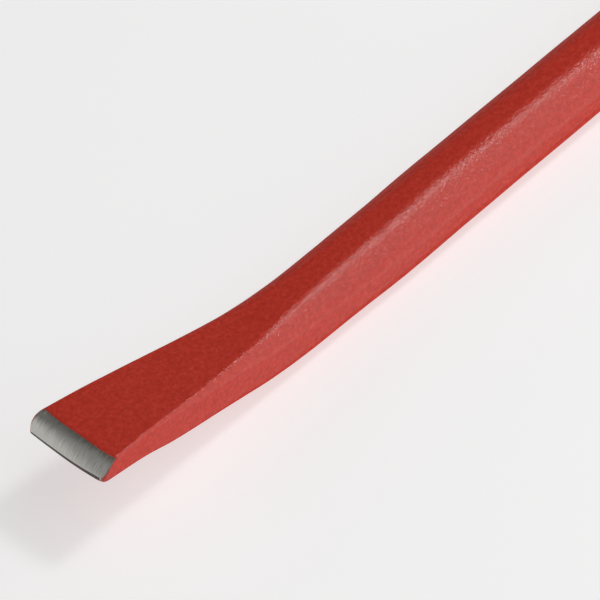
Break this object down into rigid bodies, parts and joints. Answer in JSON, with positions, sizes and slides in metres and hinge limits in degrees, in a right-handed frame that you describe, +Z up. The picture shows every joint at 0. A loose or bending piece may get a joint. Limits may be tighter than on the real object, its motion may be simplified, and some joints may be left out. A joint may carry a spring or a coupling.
{
  "type": "cranked flat masonry chisel",
  "caption": "Forged masonry chisel with a flat cranked blade ground on one side, an octagonal bar and a struck head, in red enamel.",
  "frame": {"origin": "middle of the underside of the bounding box, on the surface that the bar's lowest flat rests on", "axes": "+X along the bar from the blade to the struck head, +Y across the bar and the blade, +Z up, the way that the blade is cranked"},
  "size_m": [0.2486, 0.025, 0.0285],
  "materials": {
    "bare_steel": "belt-ground, with marks across the bevel",
    "red_enamel": "semi-gloss enamel with slight orange peel"
  },
  "bodies": {
    "root": {"steel_forging": "bare_steel", "enamel_coat": "red_enamel"}
  },
  "joints": []
}
